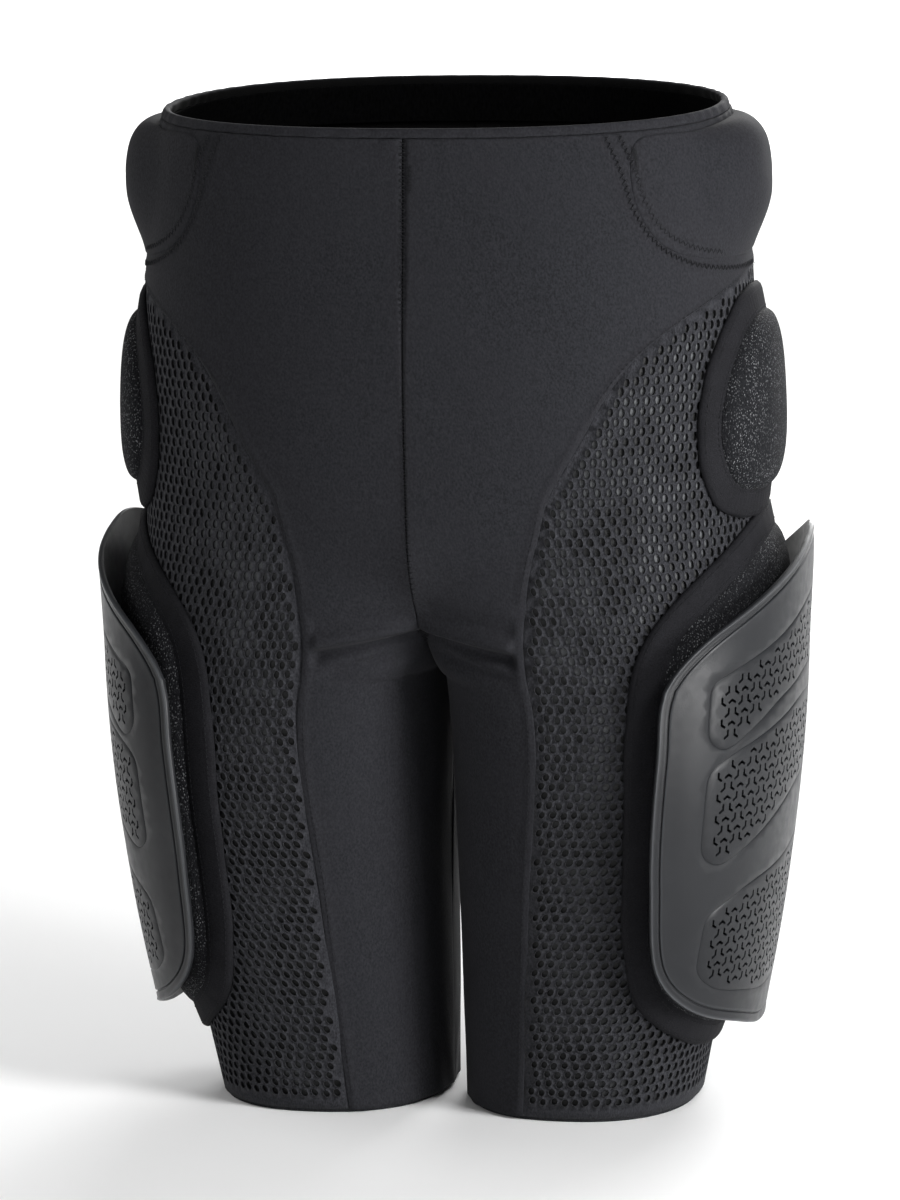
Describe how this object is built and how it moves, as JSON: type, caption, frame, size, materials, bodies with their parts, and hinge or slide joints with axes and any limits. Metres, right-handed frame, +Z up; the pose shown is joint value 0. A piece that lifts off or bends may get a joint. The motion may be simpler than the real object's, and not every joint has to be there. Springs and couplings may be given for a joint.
{
  "type": "padded impact shorts",
  "caption": "Close-fitting padded shorts in worn shape, with foam pads at hips and tailbone, perforated side panels and hard moulded thigh shells.",
  "frame": {"origin": "under the middle of the whole object, on the floor that the leg hems stand on", "axes": "+Z up from the hems to the waist, -Y towards the wearer's front, +X towards the wearer's left"},
  "size_m": [0.3878, 0.2496, 0.546],
  "materials": {
    "jersey": "matte stretch jersey",
    "mesh": "matte perforated knit",
    "lining": "fine knit with a soft sheen",
    "spacer_mesh": "spacer mesh with bright specks",
    "binding": "matte woven tape",
    "foam": "matte closed cell foam",
    "gripper": "matte elastic tape",
    "shell": "satin moulded plastic"
  },
  "bodies": {
    "root": {"left_front_panel": "jersey", "left_back_panel": "jersey", "left_side_mesh_panel": "mesh", "left_side_lining": "lining", "left_leg_hem": "gripper", "left_hip_bone_pad_foam": "foam", "left_hip_bone_pad_pocket": "jersey", "left_hip_pad_foam": "foam", "left_hip_pad_cover": "spacer_mesh", "left_hip_pad_binding": "binding", "left_thigh_pad_foam": "foam", "left_thigh_pad_cover": "spacer_mesh", "left_thigh_pad_binding": "binding", "left_thigh_shell": "shell", "right_front_panel": "jersey", "right_back_panel": "jersey", "right_side_mesh_panel": "mesh", "right_side_lining": "lining", "right_leg_hem": "gripper", "right_hip_bone_pad_foam": "foam", "right_hip_bone_pad_pocket": "jersey", "right_hip_pad_foam": "foam", "right_hip_pad_cover": "spacer_mesh", "right_hip_pad_binding": "binding", "right_thigh_pad_foam": "foam", "right_thigh_pad_cover": "spacer_mesh", "right_thigh_pad_binding": "binding", "right_thigh_shell": "shell", "waist_folded_edge": "jersey", "waist_elastic": "gripper", "waist_facing": "lining", "tailbone_pad_foam": "foam", "tailbone_pad_cover": "spacer_mesh", "tailbone_pad_binding": "binding"}
  },
  "joints": []
}
